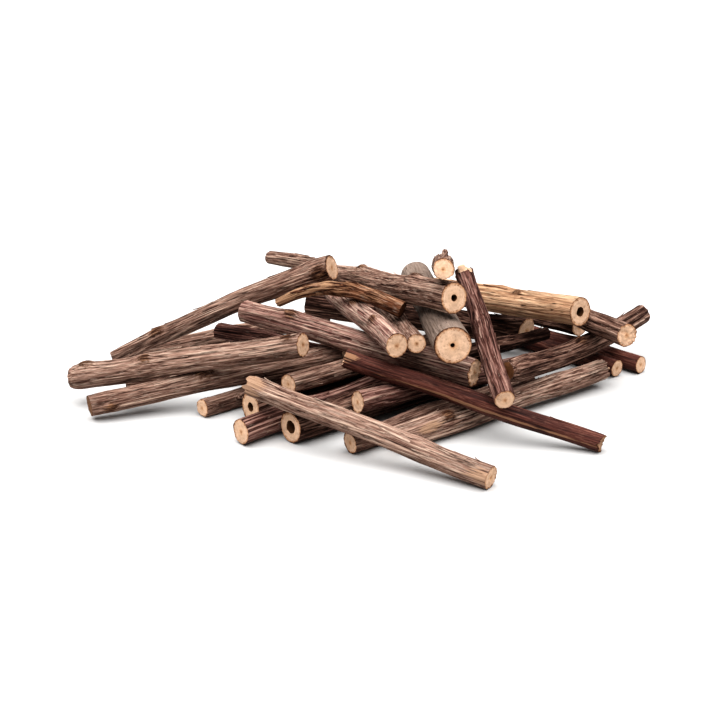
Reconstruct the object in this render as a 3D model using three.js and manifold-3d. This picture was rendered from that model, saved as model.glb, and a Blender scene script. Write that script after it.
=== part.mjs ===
// A loose heap of cut vine twigs: pruned canes sawn to about a hand's width and tipped out on a table.
// Every twig is one solid: a tapered, slightly wavering cane with swollen knots and sawn ends. Some have an
// open pith, and a few carry the stub of a side shoot.
// Millimetres and degrees. +Z is up, +X runs to the right and +Y away from the viewer.

import * as THREE from "three";
import { mergeVertices } from "three/addons/utils/BufferGeometryUtils.js";
import Module from "manifold-3d";

const wasm = await Module();
wasm.setup();

const SIDES = 12; // facets round a twig
const RING_SPACING = 12; // between the rings along a twig
const LOBE = 0.04; // how far a twig's section is from round, as a share of its radius
const WAVER = 0.5; // how far a cane wanders off its line
const WAVER_LENGTH = 70; // length of one such wave along the cane
const KNOT_HEIGHT = 0.2; // swelling at a knot, as a share of the radius
const KNOT_REACH = 4.5; // half the length of a knot along the twig
const KNOT_SWING = 0.7; // how far a knot may face to either side of upwards, in radians
const PITH_DEPTH = 9; // how far an open pith is hollow from its sawn end
const ROUNDING = 0.7; // diameter of a worn, rounded end over the cane's own
const STUB_SIDES = 7; // facets round the stub of a side shoot
const STUB_TAPER = 0.8; // tip over root diameter of a stub
const STUB_LEAN = 55; // angle between a stub and its cane
const CONTACT_STEP = 2; // spacing of the balls that stand for a twig while it is laid
const END_INSET = 0.35; // first ball from a sawn end, as a share of the radius
const GAP = 0.3; // clearance kept between twigs that touch

// The barks in the heap: brown and stringy, purple and ribbed, red and smooth, grey and smooth, and tan.
const BARKS = {
  brown: { color: 0x6f5548, roughness: 0.85 },
  purple: { color: 0x5f4340, roughness: 0.8 },
  red: { color: 0x592f2d, roughness: 0.6 },
  grey: { color: 0x8a8078, roughness: 0.8 },
  tan: { color: 0xa0764c, roughness: 0.8 },
};

// Twigs in the order they come to lie, from the table up. A twig is given by
//   butt     plan position of the middle of its thicker end
//   heading  direction in plan from butt to tip, anticlockwise from +X
//   rise     height gained from butt to tip, 0 where it lies level
//   length   sawn length
//   across   diameter at the butt and at the tip
//   bow      how far its middle strays to the left of the heading, and upwards
//   knots    places of its knots along the length, from 0 at the butt to 1 at the tip
//   pith     diameter of an open pith at the butt and at the tip, 0 where it is closed
//   cuts     how far the butt's and the tip's saw cut is turned to the left, and upwards
//   worn     which ends are rounded off, butt and tip
//   stub     a broken-off side shoot: place along the twig, way round from its left, length, diameter
const TWIGS = [
  {
    name: "left_purple_twig", bark: "purple", butt: [-48, -100], heading: 43, rise: 0,
    length: 106, across: [10.4, 10], knots: [0.3, 0.72], cuts: [[4, 3], [-3, 5]],
  },
  {
    name: "hollow_front_twig", bark: "brown", butt: [-28, -98], heading: 39, rise: 0,
    length: 108, across: [12.8, 12.2], knots: [0.42], pith: [5.4, 4], cuts: [[-3, 2], [4, 0]],
  },
  {
    name: "thin_front_twig", bark: "brown", butt: [-4, -109], heading: 40, rise: 0,
    length: 104, across: [8.8, 8.6], knots: [0.4, 0.75], cuts: [[5, -3], [0, 4]],
  },
  {
    name: "peeling_front_twig", bark: "brown", butt: [13.6, -107.5], heading: 38, rise: 2,
    length: 120, across: [10.4, 9.4], knots: [0.22, 0.78], cuts: [[-4, 3], [12, -6]],
  },
  {
    name: "hollow_left_twig", bark: "brown", butt: [-46, -76], heading: 41, rise: 0,
    length: 60, across: [13, 12], knots: [0.55], pith: [4, 3], cuts: [[3, 4], [0, 0]],
  },
  {
    name: "short_left_twig", bark: "brown", butt: [-67, -71], heading: 39, rise: 0,
    length: 80, across: [8, 7.6], knots: [0.5], cuts: [[-5, 2], [3, 0]], stub: [0.16, 150, 4.5, 3.6],
  },
  {
    name: "back_left_twig", bark: "brown", butt: [-108, -4], heading: 33, rise: 0,
    length: 108, across: [8, 7.6], knots: [0.14, 0.5], cuts: [[-6, 3], [2, 2]],
  },
  {
    name: "low_left_twig", bark: "brown", butt: [-104, -42], heading: 13, rise: 0,
    length: 80, across: [7.6, 7.4], knots: [0.35], cuts: [[6, 2], [0, 3]],
  },
  {
    name: "low_right_twig", bark: "red", butt: [118, -23], heading: 133, rise: 0,
    length: 66, across: [7.8, 7.6], knots: [0.3], cuts: [[4, 0], [0, 3]],
  },
  {
    name: "far_right_twig", bark: "red", butt: [130, -18], heading: 134, rise: 0,
    length: 74, across: [7.8, 7.6], knots: [0.45], cuts: [[2, 4], [0, -3]],
  },
  {
    name: "inner_purple_twig", bark: "purple", butt: [-1, -91], heading: 37, rise: -5,
    length: 104, across: [9.2, 8.8], knots: [0.25, 0.7], cuts: [[4, 4], [3, 0]],
  },
  {
    name: "inner_left_twig", bark: "brown", butt: [-30, -74], heading: 42, rise: -1,
    length: 84, across: [8.6, 8], knots: [0.5], cuts: [[-4, 2], [0, 3]],
  },
  {
    name: "shaded_right_twig", bark: "brown", butt: [46, -40], heading: 41.5, rise: -3,
    length: 56, across: [7.4, 5.8], knots: [0.4], cuts: [[3, 0], [-12, 4]],
  },
  {
    name: "lower_middle_twig", bark: "purple", butt: [-67, 2], heading: -28, rise: -2,
    length: 68, across: [7.8, 7.6], knots: [0.4], cuts: [[5, 3], [-4, 0]],
  },
  {
    name: "left_long_twig", bark: "brown", butt: [-114, -74], heading: 17, rise: 12.5,
    length: 111, across: [8.8, 9.2], knots: [0.08, 0.45], cuts: [[-8, 0], [-6, 4]],
  },
  {
    name: "right_inner_twig", bark: "brown", butt: [79.5, 7.5], heading: 160, rise: 2,
    length: 112, across: [12.9, 12], knots: [0.3], cuts: [[22, 0], [0, 0]],
  },
  {
    name: "under_right_twig", bark: "brown", butt: [105, 8], heading: 118, rise: -8,
    length: 62, across: [8, 7.6], knots: [0.4], cuts: [[3, 2], [0, 4]],
  },
  {
    name: "right_long_twig", bark: "brown", butt: [62, -70], heading: 48, rise: -1,
    length: 110, across: [10, 9.2], bow: [0, -4], knots: [0.12, 0.5], cuts: [[4, 6], [-8, 4]], worn: [1, 0],
  },
  {
    name: "middle_twig", bark: "purple", butt: [-52, -25], heading: -28, rise: -10,
    length: 113, across: [10, 11.8], knots: [0.22, 0.9], cuts: [[3, 0], [-3, 3]],
  },
  {
    name: "left_upper_twig", bark: "brown", butt: [-125, -54], heading: -8, rise: 20,
    length: 104, across: [10.8, 10], knots: [0.08, 0.34], cuts: [[6, 4], [-20, 0]], worn: [1, 0],
  },
  {
    name: "red_twig", bark: "red", butt: [96, -107.5], heading: 162, rise: 24,
    length: 110, across: [7.4, 7.8], knots: [0.46], cuts: [[10, 4], [8, 0]],
  },
  {
    name: "thin_ribbed_twig", bark: "brown", butt: [23, -81], heading: 100, rise: -8,
    length: 104, across: [8, 7.4], knots: [0.4], cuts: [[3, 3], [0, 0]],
  },
  {
    name: "ribbed_twig", bark: "purple", butt: [15, -86], heading: 111, rise: 1,
    length: 108, across: [10, 7.8], knots: [0.2, 0.42], cuts: [[-4, 3], [3, 0]],
  },
  {
    name: "grey_twig", bark: "grey", butt: [37, -93], heading: 95, rise: -5,
    length: 116, across: [15.2, 14.2], knots: [0.62], pith: [1.8, 0], cuts: [[2, 3], [3, -4]],
  },
  {
    name: "crooked_tan_twig", bark: "tan", butt: [18, -57], heading: 147, rise: -8,
    length: 66, across: [7.4, 4], bow: [0, 8], knots: [0.36, 0.64], cuts: [[-6, 4], [5, 0]],
  },
  {
    name: "hollow_top_twig", bark: "brown", butt: [38, -80.5], heading: 117, rise: -18,
    length: 107, across: [12.6, 10], knots: [0.3, 0.75], pith: [2.8, 2], cuts: [[-3, 2], [4, 3]],
  },
  {
    name: "thin_back_twig", bark: "brown", butt: [-43, 20], heading: -42, rise: 1.5,
    length: 36, across: [6.4, 6.8], knots: [0.45], cuts: [[4, 0], [0, 3]],
  },
  {
    name: "left_high_twig", bark: "brown", butt: [-13, -13], heading: 180, rise: -44,
    length: 111, across: [11.5, 6.5], bow: [0, 2], knots: [0.07, 0.78], cuts: [[22, 0], [4, 6]],
  },
  {
    name: "right_end_twig", bark: "brown", butt: [116, -48], heading: 110, rise: -5.5,
    length: 64, across: [10, 9.5], knots: [0.35], cuts: [[-4, 3], [3, 2]],
  },
  {
    name: "hollow_right_twig", bark: "tan", butt: [98, -31.5], heading: 130, rise: -13,
    length: 102, across: [13, 12.4], knots: [0.5], pith: [4.4, 3.6], cuts: [[3, 2], [-3, 0]],
  },
  {
    name: "top_twig", bark: "brown", butt: [33.5, -81], heading: 87, rise: -25,
    length: 100, across: [8.8, 8.4], knots: [0.3, 0.65], cuts: [[2, 4], [0, 3]], stub: [0.05, 95, 4.4, 3.4],
  },
  {
    name: "leaning_twig", bark: "purple", butt: [57.3, -105], heading: 96.5, rise: 27,
    length: 95, across: [8.6, 8], knots: [0.1, 0.5], cuts: [[-4, 4], [-8, 35]], stub: [0.93, 65, 2.5, 4.6],
  },
  {
    name: "front_twig", bark: "brown", butt: [49, -141], heading: 151, rise: 17,
    length: 108, across: [9, 8.6], knots: [0.28, 0.64], cuts: [[6, 4], [-7, 3]],
  },
];

const radians = THREE.MathUtils.degToRad;
const lerp = THREE.MathUtils.lerp;
const ALONG = new THREE.Vector3(1, 0, 0);
const LEFT = new THREE.Vector3(0, 1, 0);
const UP = new THREE.Vector3(0, 0, 1);

// A twig's own form in its own frame: x along it from the butt, y to its left, z up.
function formOf(twig, index) {
  const { length, across } = twig;
  const [left, up] = twig.bow ?? [0, 0];
  const knots = twig.knots.map((share) => share * length);
  const turn = index * 2.4; // faces each twig's lobes, waves and knots another way
  const bulge = (x) => 4 * (x / length) * (1 - x / length);
  const wave = (x, start) => WAVER * bulge(x) * Math.sin((2 * Math.PI * x) / WAVER_LENGTH + start);
  const centre = (x) => new THREE.Vector3(
    x,
    left * bulge(x) + wave(x, turn),
    up * bulge(x) + wave(x, 2 * turn),
  );
  return {
    length,
    knots,
    centre,
    tangent: (x) => centre(x + 0.5).sub(centre(x - 0.5)).normalize(),
    radius: (x) => lerp(across[0], across[1], x / length) / 2,
    knotAt: (x) => Math.max(0, ...knots.map((k) => Math.exp(-(((x - k) / KNOT_REACH) ** 2)))),
    section: (angle) => 1 + (LOBE * (Math.cos(3 * angle + turn) + Math.cos(2 * angle - turn))) / 2,
    knotSide: (angle) => Math.max(0, Math.cos(angle - Math.PI / 2 - KNOT_SWING * Math.sin(turn))),
  };
}

// A point across the cane: so far to the left and so far up from its centre line at x.
function pointOn(form, x, left, up) {
  const tangent = form.tangent(x);
  const side = UP.clone().cross(tangent).normalize();
  const top = tangent.clone().cross(side);
  return form.centre(x).addScaledVector(side, left).addScaledVector(top, up);
}

// Root and tip of a twig's stub.
function stubOf(twig, form) {
  const [share, round, reach, across] = twig.stub;
  const x = share * form.length;
  const radius = form.radius(x);
  const lean = radians(STUB_LEAN);
  const way = new THREE.Vector3(0, Math.cos(radians(round)), Math.sin(radians(round)))
    .multiplyScalar(Math.sin(lean))
    .addScaledVector(ALONG, Math.cos(lean));
  return { root: form.centre(x), way, reach: radius + reach, across };
}

// Balls along a twig and its stub in its own frame, for laying it on the others. Its knots face upwards, so
// they count only for what lies over it.
function ballsOf(twig, form) {
  const balls = [];
  const first = END_INSET * form.radius(0);
  const last = form.length - END_INSET * form.radius(form.length);
  const count = Math.ceil((last - first) / CONTACT_STEP);
  for (let i = 0; i <= count; i++) {
    const x = lerp(first, last, i / count);
    const under = form.radius(x) * (1 + LOBE);
    balls.push({ at: form.centre(x), under, over: under + form.radius(x) * KNOT_HEIGHT * form.knotAt(x) });
  }
  if (twig.stub) {
    const { root, way, reach, across } = stubOf(twig, form);
    for (let far = reach - across / 4; far > 0; far -= CONTACT_STEP) {
      balls.push({ at: root.clone().addScaledVector(way, far), under: across / 2, over: across / 2 });
    }
  }
  return balls;
}

// Lowers a twig, held at its rise, straight down on to the table and the twigs below it.
function lay(twig, form, laid) {
  const tilt = Math.asin(twig.rise / twig.length);
  const stance = new THREE.Matrix4()
    .makeRotationZ(radians(twig.heading))
    .multiply(new THREE.Matrix4().makeRotationY(-tilt))
    .setPosition(twig.butt[0], twig.butt[1], 0);
  const balls = ballsOf(twig, form);
  let height = -Infinity;
  for (const ball of balls) {
    ball.at.applyMatrix4(stance);
    let lowest = ball.under;
    for (const other of laid) {
      const reach = ball.under + other.over + GAP;
      const apart = Math.hypot(ball.at.x - other.at.x, ball.at.y - other.at.y);
      if (apart < reach) lowest = Math.max(lowest, other.at.z + Math.sqrt(reach ** 2 - apart ** 2));
    }
    height = Math.max(height, lowest - ball.at.z);
  }
  for (const ball of balls) ball.at.z += height;
  laid.push(...balls);
  return { tilt, height };
}

// Where the rings of a twig stand along it: evenly spaced, closing up round the knots.
function stationsOf(form) {
  const rings = Math.round(form.length / RING_SPACING);
  const fixed = [0, form.length];
  for (const knot of form.knots) fixed.push(knot - KNOT_REACH, knot, knot + KNOT_REACH);
  const stations = fixed.filter((x) => x >= 0 && x <= form.length);
  for (let i = 1; i < rings; i++) {
    const x = (i / rings) * form.length;
    if (fixed.every((other) => Math.abs(other - x) > RING_SPACING / 2)) stations.push(x);
  }
  return stations.sort((a, b) => a - b);
}

// The profile that a twig is turned from, as pairs of radius and place along it.
function profileOf(twig, form) {
  const { length } = form;
  const [pithButt, pithTip] = twig.pith ?? [0, 0];
  const [wornButt, wornTip] = twig.worn ?? [0, 0];
  const profile = [];
  if (pithButt) profile.push([0, PITH_DEPTH], [pithButt / 2, PITH_DEPTH], [pithButt / 2, 0]);
  else profile.push([0, 0]);
  for (const x of stationsOf(form)) {
    const worn = (x === 0 && wornButt) || (x === length && wornTip);
    const radius = form.radius(x);
    if (worn && x === length) profile.push([radius, x - radius / 2]);
    profile.push([worn ? radius * ROUNDING : radius, x]);
    if (worn && x === 0) profile.push([radius, radius / 2]);
  }
  const floor = length - PITH_DEPTH;
  if (pithTip) profile.push([pithTip / 2, length], [pithTip / 2, floor], [0, floor]);
  else profile.push([0, length]);
  return profile;
}

function solidOf(geometry) {
  geometry.deleteAttribute("normal");
  geometry.deleteAttribute("uv");
  const merged = mergeVertices(geometry, 1e-4);
  const vertProperties = merged.getAttribute("position").array;
  const triVerts = new Uint32Array(merged.index.array);
  return new wasm.Manifold(new wasm.Mesh({ numProp: 3, vertProperties, triVerts }));
}

function geometryOf(solid) {
  const { vertProperties, triVerts } = solid.getMesh();
  const geometry = new THREE.BufferGeometry();
  geometry.setAttribute("position", new THREE.BufferAttribute(vertProperties, 3));
  geometry.setIndex(new THREE.BufferAttribute(triVerts, 1));
  geometry.computeVertexNormals();
  return geometry;
}

// A twig's cane: the turned profile with lobes, knots and slanting cuts, bent along its centre line.
function caneOf(twig, form) {
  const points = profileOf(twig, form).map(([radius, x]) => new THREE.Vector2(radius, x));
  const cane = new THREE.LatheGeometry(points, SIDES).rotateZ(-Math.PI / 2);
  const position = cane.getAttribute("position");
  for (let i = 0; i < position.count; i++) {
    const x = position.getX(i);
    const angle = Math.atan2(position.getZ(i), position.getY(i));
    const swelling = form.section(angle) + KNOT_HEIGHT * form.knotAt(x) * form.knotSide(angle);
    const left = position.getY(i) * swelling;
    const up = position.getZ(i) * swelling;
    const point = pointOn(form, x, left, up);
    const atButt = Math.abs(x) < 1e-4;
    const atTip = Math.abs(x - form.length) < 1e-3;
    if (atButt || atTip) {
      const [turn, lift] = twig.cuts[atButt ? 0 : 1];
      const slant = Math.tan(radians(turn)) * left + Math.tan(radians(lift)) * up;
      point.addScaledVector(form.tangent(x), atButt ? slant : -slant);
    }
    position.setXYZ(i, point.x, point.y, point.z);
  }
  return solidOf(cane);
}

// The stub of a side shoot, from the middle of the cane outwards.
function shootOf(twig, form) {
  const { root, way, reach, across } = stubOf(twig, form);
  const shoot = new THREE.CylinderGeometry((across * STUB_TAPER) / 2, across / 2, reach, STUB_SIDES);
  shoot.applyQuaternion(new THREE.Quaternion().setFromUnitVectors(LEFT, way));
  const middle = root.addScaledVector(way, reach / 2);
  shoot.translate(middle.x, middle.y, middle.z);
  return solidOf(shoot);
}

const heap = new THREE.Group();
heap.name = "bundle_of_twigs";
const laid = [];
TWIGS.forEach((twig, index) => {
  const form = formOf(twig, index);
  const { tilt, height } = lay(twig, form, laid);
  let solid = caneOf(twig, form);
  if (twig.stub) solid = solid.add(shootOf(twig, form));
  const material = new THREE.MeshStandardMaterial({ ...BARKS[twig.bark], metalness: 0 });
  const mesh = new THREE.Mesh(geometryOf(solid), material);
  mesh.name = twig.name;
  mesh.rotation.set(0, -tilt, radians(twig.heading), "ZYX");
  mesh.position.set(twig.butt[0], twig.butt[1], height);
  heap.add(mesh);
});

// The heap's origin is on the table, under the middle of its bounds.
heap.updateMatrixWorld(true);
const bounds = new THREE.Box3().setFromObject(heap, true);
const middle = bounds.getCenter(new THREE.Vector3());
for (const mesh of heap.children) mesh.position.sub(new THREE.Vector3(middle.x, middle.y, bounds.min.z));

export default heap;
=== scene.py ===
import math

import bpy
import numpy as np
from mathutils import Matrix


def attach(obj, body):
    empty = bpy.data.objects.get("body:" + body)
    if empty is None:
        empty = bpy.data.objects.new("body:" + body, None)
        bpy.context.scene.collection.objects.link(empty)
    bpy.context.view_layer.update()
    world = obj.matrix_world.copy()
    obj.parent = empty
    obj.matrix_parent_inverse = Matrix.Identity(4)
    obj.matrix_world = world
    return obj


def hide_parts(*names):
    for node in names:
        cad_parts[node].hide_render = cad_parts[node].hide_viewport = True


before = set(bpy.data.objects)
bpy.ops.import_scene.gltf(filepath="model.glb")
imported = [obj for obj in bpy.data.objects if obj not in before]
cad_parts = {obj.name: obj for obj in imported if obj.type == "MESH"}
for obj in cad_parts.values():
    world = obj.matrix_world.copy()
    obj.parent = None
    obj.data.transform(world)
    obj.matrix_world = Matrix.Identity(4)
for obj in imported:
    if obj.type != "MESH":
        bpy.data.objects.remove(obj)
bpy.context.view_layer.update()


# Stringy brown canes: lengths of old vine wood, sawn off and dried. The dry outer bark has split along each cane
# into long flat strings, grey-lilac and tan on their faces and nearly black in the splits between them. The canes
# lie loose, each held only by those under it.
def linear(code):
    """An sRGB hex colour as the linear values that a shader takes."""
    channels = [int(code[i:i + 2], 16) / 255 for i in (1, 3, 5)]
    return [c / 12.92 if c <= 0.04045 else ((c + 0.055) / 1.055) ** 2.4 for c in channels] + [1]


def node(tree, kind, inputs=None, ramp=None, **settings):
    """A new node with its settings and colour stops, and with each input set to a value or linked.

    Inputs go by name or by number: a Map Range node brings the range 1 to 2 over to 3 to 4, and a colour Mix node
    goes from 6 to 7 by the share in 0.
    """
    made = tree.nodes.new(kind)
    for key, value in settings.items():
        setattr(made, key, value)
    for key, value in (inputs or {}).items():
        if isinstance(value, bpy.types.NodeSocket):
            tree.links.new(value, made.inputs[key])
        else:
            made.inputs[key].default_value = value
    if ramp:
        stops = made.color_ramp.elements
        while len(stops) < len(ramp):
            stops.new(1)
        for stop, (place, colour) in zip(stops, ramp):
            stop.position = place
            stop.color = linear(colour)
    return made


# Sawn vine wood: pale, porous and dull, with faint year rings, specks where the saw tore the pores, a broken ring
# of dark bast just inside the bark and a brown rim. Ends that have lain outside have gone grey and dark. Year rings
# and pores are drawn coarser than real so that they show.
ring_gap, ring_sway = 0.0016, 0.004
pore_size, pore_depth = 0.0011, 0.0004
blot_size = 0.0045
bast_place, bast_half_width = 0.84, 0.035
wood_tones = [
    (0.0, "#8e6445"), (0.08, "#ab8060"), (0.16, "#c29876"), (0.3, "#cda98c"), (0.8, "#d1ae93"),
    (0.89, "#c59b7a"), (0.95, "#8b6248"), (1.0, "#3a241a"),
]
cut_wood = bpy.data.materials.new("sawn_vine_wood")
cut_wood.use_nodes = True
tree = cut_wood.node_tree
tree.nodes.clear()
grain = node(tree, "ShaderNodeAttribute", attribute_name="grain").outputs["Vector"]
across = node(tree, "ShaderNodeVectorMath", {0: grain, 1: (0, 1, 1)}, operation="MULTIPLY").outputs[0]
from_pith = node(tree, "ShaderNodeVectorMath", {0: across}, operation="LENGTH").outputs["Value"]
radius = node(tree, "ShaderNodeAttribute", attribute_name="radius").outputs["Fac"]
share = node(tree, "ShaderNodeMath", {0: from_pith, 1: radius}, operation="DIVIDE").outputs[0]
pores = node(tree, "ShaderNodeTexNoise", {
    "Vector": grain, "Scale": 1 / pore_size, "Detail": 4, "Roughness": 0.7,
}).outputs["Fac"]
blot = node(tree, "ShaderNodeTexNoise", {"Vector": grain, "Scale": 1 / blot_size, "Detail": 2}).outputs["Fac"]
uneven = node(tree, "ShaderNodeMath", {0: pores, 1: 0.3, 2: -0.15}, operation="MULTIPLY_ADD").outputs[0]
place = node(tree, "ShaderNodeMath", {0: share, 1: uneven}, operation="ADD").outputs[0]
wood = node(tree, "ShaderNodeValToRGB", {"Fac": place}, ramp=wood_tones).outputs["Color"]
wander = node(tree, "ShaderNodeMath", {0: blot, 1: ring_sway, 2: from_pith}, operation="MULTIPLY_ADD").outputs[0]
turns = node(tree, "ShaderNodeMath", {0: wander, 1: 2 * math.pi / ring_gap}, operation="MULTIPLY").outputs[0]
rings = node(tree, "ShaderNodeMath", {0: turns}, operation="SINE").outputs[0]
faint = node(tree, "ShaderNodeMapRange", {"Value": rings, 1: -1.0, 2: 1.0, 3: 0.94, 4: 1.03}).outputs[0]
stain = node(tree, "ShaderNodeMapRange", {"Value": blot, 1: 0.3, 2: 0.55, 3: 0.82, 4: 1.0}).outputs[0]
shade = node(tree, "ShaderNodeMath", {0: faint, 1: stain}, operation="MULTIPLY").outputs[0]
speck = node(tree, "ShaderNodeMapRange", {"Value": pores, 1: 0.3, 2: 0.48, 3: 0.7, 4: 1.0}).outputs[0]
tone = node(tree, "ShaderNodeMath", {0: shade, 1: speck}, operation="MULTIPLY").outputs[0]
toned = node(tree, "ShaderNodeVectorMath", {0: wood, "Scale": tone}, operation="SCALE").outputs[0]
in_bast = node(tree, "ShaderNodeMath", {0: share, 1: bast_place, 2: bast_half_width}, operation="COMPARE").outputs[0]
broken = node(tree, "ShaderNodeMapRange", {"Value": pores, 1: 0.5, 2: 0.58, 3: 0.0, 4: 0.75}).outputs[0]
dots = node(tree, "ShaderNodeMath", {0: in_bast, 1: broken}, operation="MULTIPLY").outputs[0]
fresh = node(tree, "ShaderNodeMix", {0: dots, 6: toned, 7: linear("#6d4830")}, data_type="RGBA").outputs[2]
weather = node(tree, "ShaderNodeAttribute", attribute_name="weather").outputs["Fac"]
grey = node(tree, "ShaderNodeVectorMath", {0: fresh, 1: linear("#7a6350")[:3]}, operation="MULTIPLY").outputs[0]
colour = node(tree, "ShaderNodeMix", {0: weather, 6: fresh, 7: grey}, data_type="RGBA").outputs[2]
bump = node(tree, "ShaderNodeBump", {"Height": pores, "Strength": 0.5, "Distance": pore_depth}).outputs[0]
surface = node(tree, "ShaderNodeBsdfPrincipled", {
    "Base Color": colour, "Roughness": 0.9, "Specular IOR Level": 0.1, "Normal": bump,
}).outputs[0]
node(tree, "ShaderNodeOutputMaterial", {"Surface": surface})

# Dry pith: the spongy core of the cane, shrunk away to a dark brown hole with no shine.
pith = bpy.data.materials.new("dry_pith")
pith.use_nodes = True
core = pith.node_tree.nodes["Principled BSDF"].inputs
core["Base Color"].default_value = linear("#4a2f1c")
core["Roughness"].default_value = 0.95
core["Specular IOR Level"].default_value = 0.1


def streaks(tree, vector, length, width, detail=2):
    """Noise drawn out along the cane, for marks of this length and width in metres."""
    drawn = node(tree, "ShaderNodeVectorMath", {0: vector, 1: (1 / length, 1 / width, 1 / width)},
                 operation="MULTIPLY").outputs[0]
    return node(tree, "ShaderNodeTexNoise", {
        "Vector": drawn, "Scale": 1, "Detail": detail, "Roughness": 0.62,
    }).outputs


def strings(tree, grain, length, width):
    """Bark strings that sway along the cane: the swayed place, the way to the next split, a number per string."""
    sway_size, sway_reach = (0.05, 0.006), 0.0016
    sway = streaks(tree, grain, *sway_size)["Color"]
    swayed = node(tree, "ShaderNodeVectorMath", {0: sway, 1: (0, sway_reach, sway_reach), 2: grain},
                  operation="MULTIPLY_ADD").outputs[0]
    drawn = node(tree, "ShaderNodeVectorMath", {0: swayed, 1: (1 / length, 1 / width, 1 / width)},
                 operation="MULTIPLY").outputs[0]
    split = node(tree, "ShaderNodeTexVoronoi", {"Vector": drawn, "Scale": 1}, feature="DISTANCE_TO_EDGE")
    cell = node(tree, "ShaderNodeTexVoronoi", {"Vector": drawn, "Scale": 1}, feature="F1")
    own = node(tree, "ShaderNodeSeparateXYZ", {0: cell.outputs["Color"]}).outputs[0]
    return swayed, split.outputs["Distance"], own


def relief(name, length, width, depth, lumps):
    """How far a bark stands out, for strings of this length and width.

    Splits run between the strings, which are of unequal height up to depth, over broad lumps. Bud scars have a
    raised lip, and sawn ends are torn along the cane.
    """
    lump_size = (0.012, 0.004)
    bud_lip = 0.0009
    splinter_size = 0.0016
    tree = bpy.data.node_groups.new(name, "GeometryNodeTree")
    tree.interface.new_socket("Geometry", in_out="INPUT", socket_type="NodeSocketGeometry")
    tree.interface.new_socket("Geometry", in_out="OUTPUT", socket_type="NodeSocketGeometry")
    given = node(tree, "NodeGroupInput").outputs[0]
    grain, outward, tear = [
        node(tree, "GeometryNodeInputNamedAttribute", {"Name": key}, data_type="FLOAT_VECTOR").outputs[0]
        for key in ("grain", "outward", "tear")
    ]
    split, own = strings(tree, grain, length, width)[1:]
    flank = node(tree, "ShaderNodeMapRange", {"Value": split, 1: 0.0, 2: 0.25, 3: -0.8, 4: 0.0}).outputs[0]
    height = node(tree, "ShaderNodeMath", {0: own, 1: flank}, operation="ADD").outputs[0]
    broad = streaks(tree, grain, *lump_size, detail=3)["Fac"]
    swell = node(tree, "ShaderNodeMath", {0: broad, 1: 2 * lumps, 2: -lumps}, operation="MULTIPLY_ADD").outputs[0]
    rise = node(tree, "ShaderNodeMath", {0: height, 1: depth, 2: swell}, operation="MULTIPLY_ADD").outputs[0]
    bud = node(tree, "GeometryNodeInputNamedAttribute", {"Name": "bud"}, data_type="FLOAT").outputs[0]
    lip = node(tree, "ShaderNodeMapRange", {"Value": bud, 1: 1.5, 2: 0.3, 3: 0.0, 4: bud_lip},
               interpolation_type="SMOOTHSTEP").outputs[0]
    budded = node(tree, "ShaderNodeMath", {0: rise, 1: lip}, operation="ADD").outputs[0]
    out = node(tree, "ShaderNodeVectorMath", {0: outward, "Scale": budded}, operation="SCALE").outputs[0]
    splinter = node(tree, "ShaderNodeTexNoise", {
        "Vector": grain, "Scale": 1 / splinter_size, "Detail": 2,
    }).outputs["Fac"]
    torn = node(tree, "ShaderNodeMath", {0: splinter, 1: 3.0, 2: -1.5}, operation="MULTIPLY_ADD").outputs[0]
    along = node(tree, "ShaderNodeVectorMath", {0: tear, "Scale": torn}, operation="SCALE").outputs[0]
    shift = node(tree, "ShaderNodeVectorMath", {0: out, 1: along}, operation="ADD").outputs[0]
    moved = node(tree, "GeometryNodeSetPosition", {"Geometry": given, "Offset": shift}).outputs[0]
    node(tree, "NodeGroupOutput", {0: moved})
    return tree


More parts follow.
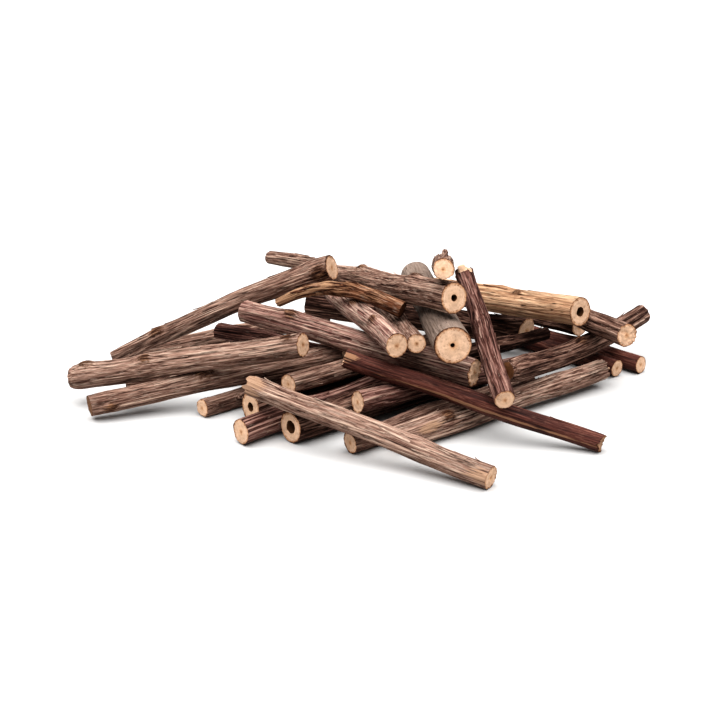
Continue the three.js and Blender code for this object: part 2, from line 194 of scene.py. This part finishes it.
def bark(name, length, width, tones, split_colour, bare_colour, spread, gloss, splits=0.8, chips=0.7,
         flakes=0.5, flake_colour="#a08a7c"):
    """A bark's colours, for strings of this length and width.

    spread is how much the string's own number, its fibres, its ribs and broad stains each change the tone. splits,
    chips and flakes are how strongly the dark splits, small dark chips and bleached flakes show.
    """
    # Fibres are drawn coarser than real so that they show.
    fibre_size = (0.008, 0.00045)
    rib_size, rib_depth = (0.045, 0.001), 0.0006
    stain_size = (0.018, 0.005)
    chip_size = (0.006, 0.0008)
    flake_size = (0.005, 0.0008)
    crumb_size = (0.0016, 0.0009)
    scar_tones = [(0.35, "#120705"), (0.5, "#3a2216"), (0.62, "#7d5c45")]
    material = bpy.data.materials.new(name)
    material.use_nodes = True
    tree = material.node_tree
    tree.nodes.clear()
    grain = node(tree, "ShaderNodeAttribute", attribute_name="grain").outputs["Vector"]
    swayed, split, own = strings(tree, grain, length, width)

    # The strings' faces: a tone for each, with fibres, ribs and stains in it.
    fibre = streaks(tree, swayed, *fibre_size, detail=3)["Fac"]
    rib = streaks(tree, swayed, *rib_size, detail=1)["Fac"]
    stain = streaks(tree, grain, *stain_size, detail=3)["Fac"]
    # The cane's tone is its own paler or darker colour, and for canes deep in the heap also a painted shade that
    # darkens them.
    tone_and_painted_shade = node(tree, "ShaderNodeAttribute", attribute_name="tone").outputs["Fac"]
    tone = node(tree, "ShaderNodeMath", {0: tone_and_painted_shade, 1: 0.5 - sum(spread) / 2}, operation="ADD").outputs[0]
    for value, weight in zip((own, fibre, rib, stain), spread):
        tone = node(tree, "ShaderNodeMath", {0: value, 1: weight, 2: tone}, operation="MULTIPLY_ADD").outputs[0]
    faces = node(tree, "ShaderNodeValToRGB", {"Fac": tone}, ramp=tones).outputs["Color"]

    # Dark splits between the strings, dark chips in them, and bleached flakes of the outermost skin.
    dark = linear(split_colour)
    ragged = node(tree, "ShaderNodeMath", {0: stain, 1: -0.5, 2: split}, operation="MULTIPLY_ADD").outputs[0]
    depth = node(tree, "ShaderNodeMapRange", {"Value": ragged, 1: -0.3, 2: -0.14, 3: splits, 4: 0.0}).outputs[0]
    lined = node(tree, "ShaderNodeMix", {0: depth, 6: faces, 7: dark}, data_type="RGBA").outputs[2]
    chip = streaks(tree, swayed, *chip_size, detail=1)["Fac"]
    pit = node(tree, "ShaderNodeMapRange", {"Value": chip, 1: 0.63, 2: 0.73, 3: 0.0, 4: chips}).outputs[0]
    pitted = node(tree, "ShaderNodeMix", {0: pit, 6: lined, 7: dark}, data_type="RGBA").outputs[2]
    flake = streaks(tree, grain, *flake_size, detail=3)["Fac"]
    bleach = node(tree, "ShaderNodeMath", {0: tone_and_painted_shade, 1: 0.5, 2: flake}, operation="MULTIPLY_ADD").outputs[0]
    shed = node(tree, "ShaderNodeMapRange", {"Value": bleach, 1: 0.56, 2: 0.66, 3: 0.0, 4: flakes}).outputs[0]
    flaked = node(tree, "ShaderNodeMix", {0: shed, 6: pitted, 7: linear(flake_colour)}, data_type="RGBA").outputs[2]

    # Bud scars, dark and broken at their edge, and patches where the bark has frayed off the wood.
    bud = node(tree, "ShaderNodeAttribute", attribute_name="bud").outputs["Fac"]
    crumb = streaks(tree, grain, *crumb_size)["Fac"]
    rough = node(tree, "ShaderNodeMath", {0: crumb, 1: 2.4, 2: bud}, operation="MULTIPLY_ADD").outputs[0]
    scar = node(tree, "ShaderNodeValToRGB", {"Fac": fibre}, ramp=scar_tones).outputs["Color"]
    edge = node(tree, "ShaderNodeMapRange", {"Value": rough, 1: 2.6, 2: 1.8, 3: 0.0, 4: 0.92}).outputs[0]
    scarred = node(tree, "ShaderNodeMix", {0: edge, 6: flaked, 7: scar}, data_type="RGBA").outputs[2]
    bare = node(tree, "ShaderNodeAttribute", attribute_name="bare").outputs["Fac"]
    peel = node(tree, "ShaderNodeMath", {0: rib, 1: 2.0, 2: bare}, operation="MULTIPLY_ADD").outputs[0]
    frayed = node(tree, "ShaderNodeMath", {0: fibre, 1: 1.5, 2: peel}, operation="MULTIPLY_ADD").outputs[0]
    open_wood = node(tree, "ShaderNodeMapRange", {"Value": frayed, 1: 2.3, 2: 2.6, 3: 0.0, 4: 0.85}).outputs[0]
    colour = node(tree, "ShaderNodeMix", {0: open_wood, 6: scarred, 7: linear(bare_colour)},
                  data_type="RGBA").outputs[2]

    # The fibres, ribs, splits and chips also catch the light.
    ribbed = node(tree, "ShaderNodeMath", {0: rib, 1: 1.6, 2: fibre}, operation="MULTIPLY_ADD").outputs[0]
    height = node(tree, "ShaderNodeMath", {0: split, 1: 0.5, 2: ribbed}, operation="MULTIPLY_ADD").outputs[0]
    sunk = node(tree, "ShaderNodeMath", {0: pit, 1: -0.5, 2: height}, operation="MULTIPLY_ADD").outputs[0]
    bump = node(tree, "ShaderNodeBump", {"Height": sunk, "Strength": 0.8, "Distance": rib_depth}).outputs[0]
    surface = node(tree, "ShaderNodeBsdfPrincipled", {
        "Base Color": colour, "Roughness": 1 - gloss, "Specular IOR Level": gloss / 2, "Normal": bump,
    }).outputs[0]
    node(tree, "ShaderNodeOutputMaterial", {"Surface": surface})
    return material


def smoothed(name, stub):
    """A copy of a twig's solid with its facets rounded, and its sawn edges kept where it has no side shoot."""
    made = bpy.data.objects.new(name + "_bark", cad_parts[name].data.copy())
    bpy.context.scene.collection.objects.link(made)
    bpy.ops.object.select_all(action="DESELECT")
    made.select_set(True)
    bpy.context.view_layer.objects.active = made
    bpy.ops.mesh.customdata_custom_splitnormals_clear()
    bpy.ops.object.mode_set(mode="EDIT")
    bpy.ops.mesh.select_mode(type="EDGE")
    bpy.ops.mesh.select_all(action="SELECT")
    bpy.ops.mesh.remove_doubles(threshold=1e-6)
    bpy.ops.mesh.tris_convert_to_quads()
    bpy.ops.mesh.select_all(action="DESELECT")
    bpy.ops.mesh.edges_select_sharp(sharpness=math.radians(50))
    bpy.ops.transform.edge_crease(value=1)
    bpy.ops.object.mode_set(mode="OBJECT")
    if stub:
        even = made.modifiers.new("even", "REMESH")
        even.mode = "VOXEL"
        even.voxel_size = 0.0004
        bpy.ops.object.modifier_apply(modifier="even")
        round_off = made.modifiers.new("round_off", "SMOOTH")
        round_off.iterations = 6
        bpy.ops.object.modifier_apply(modifier="round_off")
    else:
        smooth = made.modifiers.new("smooth", "SUBSURF")
        smooth.levels = 3
        smooth.render_levels = 3
        bpy.ops.object.modifier_apply(modifier="smooth")
    return made


def cane(name, heading, number, cover, shape, slot, ends=(0, 0), tears=(0.25, 0.25), frays=16,
         buds=(), bare=(), tone=0.0, stub=None, blunt=False):
    """One twig's fine surface, grown from a copy of its solid.

    heading is the way it points in plan, and number gives it its own stretch of bark and its own loose strings.
    ends is how weathered its butt and tip are, tears how ragged they are in millimetres, and frays how many loose
    strings it has. buds are its bud scars (share of the length, degrees round it, size in millimetres), bare its
    peeled patches (share, degrees, length and width), and tone how much paler it is than its fellows; for canes
    deep in the heap a low tone is painted shade. stub says that it has the stub of a side shoot, in bark or bare,
    and blunt that its butt is worn square.
    """
    made = smoothed(name, stub)
    mesh = made.data
    points = np.zeros(len(mesh.vertices) * 3)
    mesh.vertices.foreach_get("co", points)
    points = points.reshape(-1, 3)

    # The cane's own directions: along it, to its left and up from it.
    middle = points.mean(0)
    lie = np.linalg.svd(points - middle, full_matrices=False)[2][0]
    lie *= np.sign(lie @ [math.cos(math.radians(heading)), math.sin(math.radians(heading)), 0])
    side = np.cross([0, 0, 1], lie)
    side /= np.linalg.norm(side)
    top = np.cross(lie, side)
    along, left, up = ((points - middle) @ np.column_stack([lie, side, top])).T
    start = along.min()
    length = along.max() - start
    share = (along - start) / length

    # Its bent centre line and tapering radius, found without side shoots and sawn ends. Smoothing has drawn the
    # cane in by a share of its radius, which is given back.
    drawn_in = 0.012 if stub else 0.047
    near = np.ones(len(points), bool)
    for _ in range(2):
        curve = [np.polyfit(along[near], part[near], 4) for part in (left, up)]
        offset = np.column_stack([left - np.polyval(curve[0], along), up - np.polyval(curve[1], along)])
        reach = np.hypot(*offset.T)
        near = reach < 1.35 * np.median(reach)
    skin = near & (reach > 0.8 * np.median(reach))
    radius = np.polyval(np.polyfit(along[skin], reach[skin], 1) * (1 + drawn_in), along)
    outward = (offset[:, :1] * side + offset[:, 1:] * top) / np.maximum(reach, 1e-9)[:, None]
    points += outward * (reach * drawn_in)[:, None]
    offset *= 1 + drawn_in
    reach *= 1 + drawn_in
    if blunt:
        fuller = radius * np.clip(reach / radius, 0, 1) ** 0.4
        stretch = np.clip((0.09 - share) / 0.03, 0, 1) * np.where(reach < radius, fuller - reach, 0)
        points += outward * stretch[:, None]
        offset *= (1 + stretch / np.maximum(reach, 1e-9))[:, None]
        reach += stretch
    mesh.vertices.foreach_set("co", points.ravel())
    # The relief fades out over the rim of a sawn end.
    rim = np.clip((reach / radius - 0.6) / 0.3, 0, 1)

    # Bud scars and peeled patches, as how far each point is from them in half sizes. Sizes are in millimetres.
    no_bud = 3.0
    round_it = np.degrees(np.arctan2(offset[:, 1], offset[:, 0]))
    bud = np.full(len(points), no_bud)
    for place, angle, size in buds:
        turned = (round_it - angle + 180) % 360 - 180
        far = np.hypot((share - place) * length * 1400 / size, np.radians(turned) * radius * 2000 / size)
        bud = np.minimum(bud, far)
    peeled = np.zeros(len(points))
    for place, angle, long, wide in bare:
        turned = (round_it - angle + 180) % 360 - 180
        far = np.hypot((share - place) * length * 2000 / long, np.radians(turned) * radius * 2000 / wide)
        peeled = np.maximum(peeled, np.clip(1.6 - far, 0, 1))

    # Which faces are bark, sawn wood and pith.
    normals = np.zeros(len(mesh.polygons) * 3)
    mesh.polygons.foreach_get("normal", normals)
    lengthwise = np.abs(normals.reshape(-1, 3) @ lie)
    loops = np.zeros(len(mesh.loops), int)
    mesh.loops.foreach_get("vertex_index", loops)
    corners = loops.reshape(-1, 4)
    from_middle = np.abs(share[corners].mean(1) - 0.5)
    face_reach = (reach / radius)[corners].mean(1)
    sawn = (lengthwise > 0.6) & (from_middle > 0.42) & (face_reach < 1.02)
    hole = (face_reach < 0.62) & ((lengthwise < 0.6) | (from_middle < 0.45))
    if stub == "bare":
        snag = (face_reach > 1.1) & (share[corners].mean(1) > 0.8)
        sawn |= snag
        radius[np.unique(corners[snag])] *= 3
    mesh.materials.clear()
    for material in (cover, cut_wood, pith):
        mesh.materials.append(material)
    mesh.polygons.foreach_set("material_index", np.where(hole, 2, np.where(sawn, 1, 0)).astype(np.int32))

    # What the bark and its relief read at each point.
    at_end = np.where(share < 0.5, 0, 1)
    cap = np.zeros(len(points), bool)
    cap[corners[sawn].ravel()] = True
    bark_start = 0.31 * number
    values = {
        "grain": np.column_stack([along - start + bark_start, offset]),
        "outward": outward * rim[:, None],
        "tear": np.where(cap, np.array(tears)[at_end] / 1000, 0)[:, None] * lie,
        "radius": radius,
        "bud": bud,
        "tone": np.full(len(points), tone),
        "bare": peeled,
        "weather": np.array(ends, float)[at_end],
    }
    for key, value in values.items():
        kind = "FLOAT_VECTOR" if value.ndim == 2 else "FLOAT"
        stored = mesh.attributes.new(key, kind, "POINT")
        stored.data.foreach_set("vector" if value.ndim == 2 else "value", value.astype(np.float32).ravel())
    made.modifiers.new("relief", "NODES").node_group = shape
    bpy.ops.object.modifier_apply(modifier="relief")

    # Nothing goes through the table.
    raised = np.zeros(len(mesh.vertices) * 3)
    mesh.vertices.foreach_get("co", raised)
    raised[2::3] = np.maximum(raised[2::3], 0)
    mesh.vertices.foreach_set("co", raised)

    # Loose strings: shreds of bark 5 to 16 mm long, on the upper side, that have come away at one end. Each is a
    # strip of four-cornered rows that narrows to its free end.
    chance = np.random.default_rng(number)
    rows = 7
    shreds = []
    for _ in range(frays):
        step = np.repeat(np.linspace(0, 1, rows), 4)
        run = chance.uniform(0.005, 0.016)
        here = start + chance.uniform(0.01, 0.99 - run / length) * length + run * step
        turn = chance.uniform(-0.5, math.pi + 0.5) + chance.uniform(-0.2, 0.2) * step
        lift = chance.uniform(0.0, 0.001) * step ** 3 + np.tile([-0.0002, -0.0002, 0.00015, 0.00015], rows)
        half = chance.uniform(0.0003, 0.00055) * (1 - 0.7 * step) * np.tile([-1, 1, 1, -1], rows)
        turned = (round_it[skin] - np.degrees(turn)[:, None] + 180) % 360 - 180
        gap = (along[skin] - here[:, None]) ** 2 + (np.radians(turned) * radius[skin]) ** 2
        out = reach[skin][gap.argmin(1)] + lift
        from_axis = np.column_stack([
            out * np.cos(turn) - half * np.sin(turn),
            out * np.sin(turn) + half * np.cos(turn),
        ])
        shreds.append((here, from_axis, np.full(4 * rows, tone + chance.uniform(-0.1, 0.25))))
    if shreds:
        here, from_axis, pale = (np.concatenate(part) for part in zip(*shreds))
        placed = from_axis + np.column_stack([np.polyval(part, here) for part in curve])
        walls = [(c + 4 * k, (c + 1) % 4 + 4 * k, (c + 1) % 4 + 4 * k + 4, c + 4 * k + 4)
                 for k in range(rows - 1) for c in range(4)]
        tips = [(3, 2, 1, 0), tuple(range(4 * rows - 4, 4 * rows))]
        faces = [tuple(c + 4 * rows * n for c in face) for n in range(frays) for face in walls + tips]
        shred_mesh = bpy.data.meshes.new("shreds")
        shred_mesh.from_pydata(middle + here[:, None] * lie + placed[:, :1] * side + placed[:, 1:] * top, [], faces)
        shred_mesh.materials.append(cover)
        grain = np.column_stack([here - start + bark_start, from_axis])
        shred_mesh.attributes.new("grain", "FLOAT_VECTOR", "POINT").data.foreach_set("vector", grain.ravel())
        shred_mesh.attributes.new("tone", "FLOAT", "POINT").data.foreach_set("value", pale)
        shred_mesh.attributes.new("bud", "FLOAT", "POINT").data.foreach_set("value", np.full(len(pale), no_bud))
        loose = bpy.data.objects.new("shreds", shred_mesh)
        bpy.context.scene.collection.objects.link(loose)
        bpy.ops.object.select_all(action="DESELECT")
        loose.select_set(True)
        bpy.context.view_layer.objects.active = loose
        bpy.ops.object.mode_set(mode="EDIT")
        bpy.ops.mesh.select_all(action="SELECT")
        bpy.ops.mesh.normals_make_consistent(inside=False)
        bpy.ops.object.mode_set(mode="OBJECT")
        made.select_set(True)
        bpy.context.view_layer.objects.active = made
        bpy.ops.object.join()
    bpy.ops.object.shade_smooth_by_angle(angle=math.radians(40))
    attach(made, "root")
    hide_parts(name)


# Stringy vine bark: dry and dull, with hardly any shine, every string in a brown of its own.
brown_string = (0.045, 0.0014)
brown_shape = relief("stringy_bark", *brown_string, depth=0.00024, lumps=0.00025)
brown_bark = bark(
    "stringy_vine_bark", *brown_string,
    tones=[(0.1, "#1f110d"), (0.3, "#523a31"), (0.5, "#7a5f53"), (0.7, "#9a7d6e"), (0.92, "#bda493")],
    split_colour="#160a07", bare_colour="#9c7d66", spread=(0.2, 1.15, 1.1, 0.6), gloss=0.1,
)
brown_twigs = [
    ("hollow_front_twig", 39, dict(tone=-0.2)),
    ("thin_front_twig", 40, dict(tone=-0.05)),
    ("peeling_front_twig", 38, dict(
        buds=[(0.22, 120, 5)], tears=(0.2, 2.4), bare=[(0.13, 150, 12, 5)], tone=0.06, frays=40,
    )),
    ("hollow_left_twig", 41, dict(tone=-0.22)),
    ("short_left_twig", 39, dict(tone=-0.05, stub="bark")),
    ("back_left_twig", 33, dict(tone=0)),
    ("low_left_twig", 13, dict(tone=-0.05)),
    ("inner_left_twig", 42, dict(tone=-0.02)),
    # Painted shade: this cane lies deep in the heap, and its low tone darkens it as if in shade.
    ("shaded_right_twig", 41.5, dict(tone=-0.35)),
    ("left_long_twig", 17, dict(buds=[(0.08, 190, 4), (0.45, 110, 6)], ends=(0.9, 0.9), tone=0.02)),
    # Painted shade: right_inner and under_right lie deep in the heap, and their low tones darken them as if in
    # shade.
    ("right_inner_twig", 160, dict(tone=-0.3)),
    ("under_right_twig", 118, dict(tone=-0.25)),
    ("right_long_twig", 48, dict(buds=[(0.5, 100, 5)], ends=(1, 1), tone=-0.16)),
    ("left_upper_twig", -8, dict(
        buds=[(0.08, 95, 5), (0.34, 120, 4), (0.93, 110, 4)], ends=(1, 0), tone=0.05, blunt=True,
    )),
    ("thin_ribbed_twig", 100, dict(tone=0.08)),
    ("hollow_top_twig", 117, dict(buds=[(0.3, 100, 5), (0.75, 80, 4)], tone=0.04)),
    ("thin_back_twig", -42, dict(tone=0.05)),
    ("left_high_twig", 180, dict(buds=[(0.07, 10, 6), (0.78, 60, 5)], tone=0)),
    ("right_end_twig", 110, dict(tears=(1, 0), tone=-0.08)),
    ("top_twig", 87, dict(stub="bark")),
    ("front_twig", 151, dict(
        tears=(0.4, 2), bare=[(0.02, 20, 14, 5), (1, 60, 18, 8), (0.99, -10, 12, 4)], tone=0.08, frays=34,
    )),
]
for number, (name, heading, looks) in enumerate(brown_twigs):
    cane(name, heading, number, brown_bark, brown_shape, "stringy_brown_bark", **looks)

# Ribbed purple canes: younger vine wood, sawn to the same length. The bark is still tight on the wood but has dried
# into shallow ribs, purple-brown with paler crests. They lie loose among the brown canes.
# Ribbed vine bark: a little smoother and redder than the stringy bark, with a trace of shine on the crests.
purple_string = (0.06, 0.0018)
purple_shape = relief("ribbed_bark", *purple_string, depth=0.0002, lumps=0.0002)
purple_bark = bark(
    "ribbed_vine_bark", *purple_string,
    tones=[(0.1, "#1e0f0c"), (0.3, "#4f322b"), (0.5, "#785850"), (0.7, "#9c7b6e"), (0.92, "#c0a494")],
    split_colour="#150806", bare_colour="#9c7d66", spread=(0.2, 1.05, 1.2, 0.6), gloss=0.14,
)
purple_twigs = [
    ("left_purple_twig", 43, dict(tone=-0.08)),
    ("inner_purple_twig", 37, dict(tone=-0.04)),
    # Painted shade: this cane lies low in the heap, and its low tone darkens it as if in shade.
    ("lower_middle_twig", -28, dict(tone=-0.18)),
    ("middle_twig", -28, dict(buds=[(0.22, 110, 5)], tears=(0.3, 1), tone=0.08)),
    ("ribbed_twig", 111, dict(buds=[(0.2, 60, 4), (0.42, 70, 4)], tone=0.13)),
    ("leaning_twig", 96.5, dict(tone=-0.16, stub="bare")),
]
for number, (name, heading, looks) in enumerate(purple_twigs, 30):
    cane(name, heading, number, purple_bark, purple_shape, "ribbed_purple_bark", **looks)

# Smooth red canes: last year's shoots, thin and straight, cut with shears or snapped so that some ends are torn.
# Their thin dark red bark is still whole. They lie loose, one across the front and two at the right.
# Smooth red bark: tight and fine-grained, so it keeps a slight sheen, with few splits and a long tan scrape.
red_string = (0.06, 0.003)
red_shape = relief("smooth_bark", *red_string, depth=0.00008, lumps=0.00018)
red_bark = bark(
    "smooth_red_bark", *red_string,
    tones=[(0.05, "#150806"), (0.3, "#331813"), (0.52, "#46231c"), (0.74, "#5f372d"), (0.95, "#8a6656")],
    split_colour="#0f0404", bare_colour="#8f6a50", spread=(0.2, 1.0, 1.0, 0.5), gloss=0.3,
    splits=0.5, chips=0.5, flakes=0.35, flake_colour="#7d5648",
)
red_twigs = [
    ("low_right_twig", 133, dict(tone=0)),
    ("far_right_twig", 134, dict(tone=0.05)),
    ("red_twig", 162, dict(tears=(1.6, 1.2), ends=(0.6, 0), bare=[(0.4, -12, 90, 1.2), (0.98, 40, 8, 5)])),
]
for number, (name, heading, looks) in enumerate(red_twigs, 50):
    cane(name, heading, number, red_bark, red_shape, "smooth_red_bark", frays=6, **looks)

# Smooth grey cane: the stoutest piece, from another wood, sawn across with a pinhole of pith in the middle. Its
# thin bark has stayed whole. It lies loose on the middle of the heap.
# Smooth grey bark: even and fine, grey with faint streaks and no strings.
grey_string = (0.03, 0.004)
grey_shape = relief("grey_bark", *grey_string, depth=0.00006, lumps=0.00015)
grey_bark = bark(
    "smooth_grey_bark", *grey_string,
    tones=[(0.05, "#3f332c"), (0.3, "#65564c"), (0.52, "#7a6a60"), (0.74, "#8e7d72"), (0.95, "#a59386")],
    split_colour="#33271f", bare_colour="#8a705a", spread=(0.1, 0.6, 0.4, 0.6), gloss=0.2,
    splits=0.1, chips=0.6, flakes=0.2,
)
cane("grey_twig", 95, 60, grey_bark, grey_shape, "smooth_grey_bark", frays=0)

# Golden cane: vine wood with a wide hollow pith, whose outer bark has come away and left the inner bark, with some
# dark strings still on it. It is sawn at both ends and lies loose on the right.
# Golden inner bark: smoother and paler than the outer bark, with long tan fibres and a faint shine.
tan_string = (0.03, 0.002)
tan_shape = relief("tan_bark", *tan_string, depth=0.0002, lumps=0.0002)
tan_bark = bark(
    "golden_inner_bark", *tan_string,
    tones=[(0.1, "#2a1710"), (0.3, "#6f4e3b"), (0.5, "#9c775c"), (0.7, "#bb9678"), (0.92, "#d4b597")],
    split_colour="#1f100a", bare_colour="#9d7048", spread=(0.2, 0.8, 0.9, 0.7), gloss=0.16,
    splits=0.6, chips=0.8, flakes=0.3, flake_colour="#b08e6c",
)
cane("hollow_right_twig", 130, 71, tan_bark, tan_shape, "tan_bark", buds=[(0.35, 70, 4)], tone=0.09)

# Crooked tan cane: a thin bent side shoot, broken off at the butt, peeled smooth at its tip and still knotty and
# rough towards its butt. It lies loose on top of the ribbed canes.
# Rusty vine bark: short, crumbling, rust-brown strings with no shine, and tan wood where it has peeled.
rusty_string = (0.02, 0.0016)
rusty_bark = bark(
    "rusty_vine_bark", *rusty_string,
    tones=[(0.1, "#1f0f0a"), (0.3, "#553525"), (0.5, "#7b543e"), (0.7, "#9b765d"), (0.92, "#bf9f86")],
    split_colour="#180a06", bare_colour="#9f7d62", spread=(0.3, 1.0, 0.7, 1.0), gloss=0.1,
)
cane("crooked_tan_twig", 147, 70, rusty_bark, brown_shape, "tan_bark", ends=(1, 0.4), tone=-0.02, frays=30,
     buds=[(0.4, 80, 7), (0.48, 20, 8), (0.55, 60, 6), (0.2, 30, 5)], bare=[(0.85, 60, 44, 40)])

# Studio: a plain pale paper floor, a white room that lights the heap from all round, and one large soft lamp above
# it. The paper is matt, so it takes a soft shadow and no reflection.
bpy.ops.object.select_all(action="DESELECT")
bpy.ops.mesh.primitive_plane_add(size=200)
floor = bpy.context.object
floor.name = "floor"
paper = bpy.data.materials.new("white_paper")
paper.use_nodes = True
paper.node_tree.nodes["Principled BSDF"].inputs["Base Color"].default_value = linear("#b9b8b7")
paper.node_tree.nodes["Principled BSDF"].inputs["Roughness"].default_value = 0.9
floor.data.materials.append(paper)

room = bpy.data.worlds.new("white_room")
room.use_nodes = True
room.node_tree.nodes["Background"].inputs["Color"].default_value = (1, 1, 1, 1)
room.node_tree.nodes["Background"].inputs["Strength"].default_value = 0.3
bpy.context.scene.world = room

bpy.ops.object.light_add(type="SUN", location=(-0.3, -0.6, 0.9), rotation=(math.radians(9), 0, math.radians(-20)))
lamp = bpy.context.object
lamp.name = "soft_lamp"
lamp.data.energy = 6.7
lamp.data.angle = math.radians(85)

# Camera: a 65 mm view from 20 degrees above the table, at the photograph's place. The plain view transform with a
# firmer contrast keeps the splits dark and the paper white.
bpy.ops.object.camera_add(location=(-0.0063, -0.5422, 0.2121), rotation=(math.radians(70), 0, 0))
camera = bpy.context.object
camera.data.lens = 65
camera.data.sensor_width = 36
bpy.context.scene.camera = camera
bpy.context.scene.view_settings.view_transform = "Standard"
bpy.context.scene.view_settings.look = "Medium High Contrast"
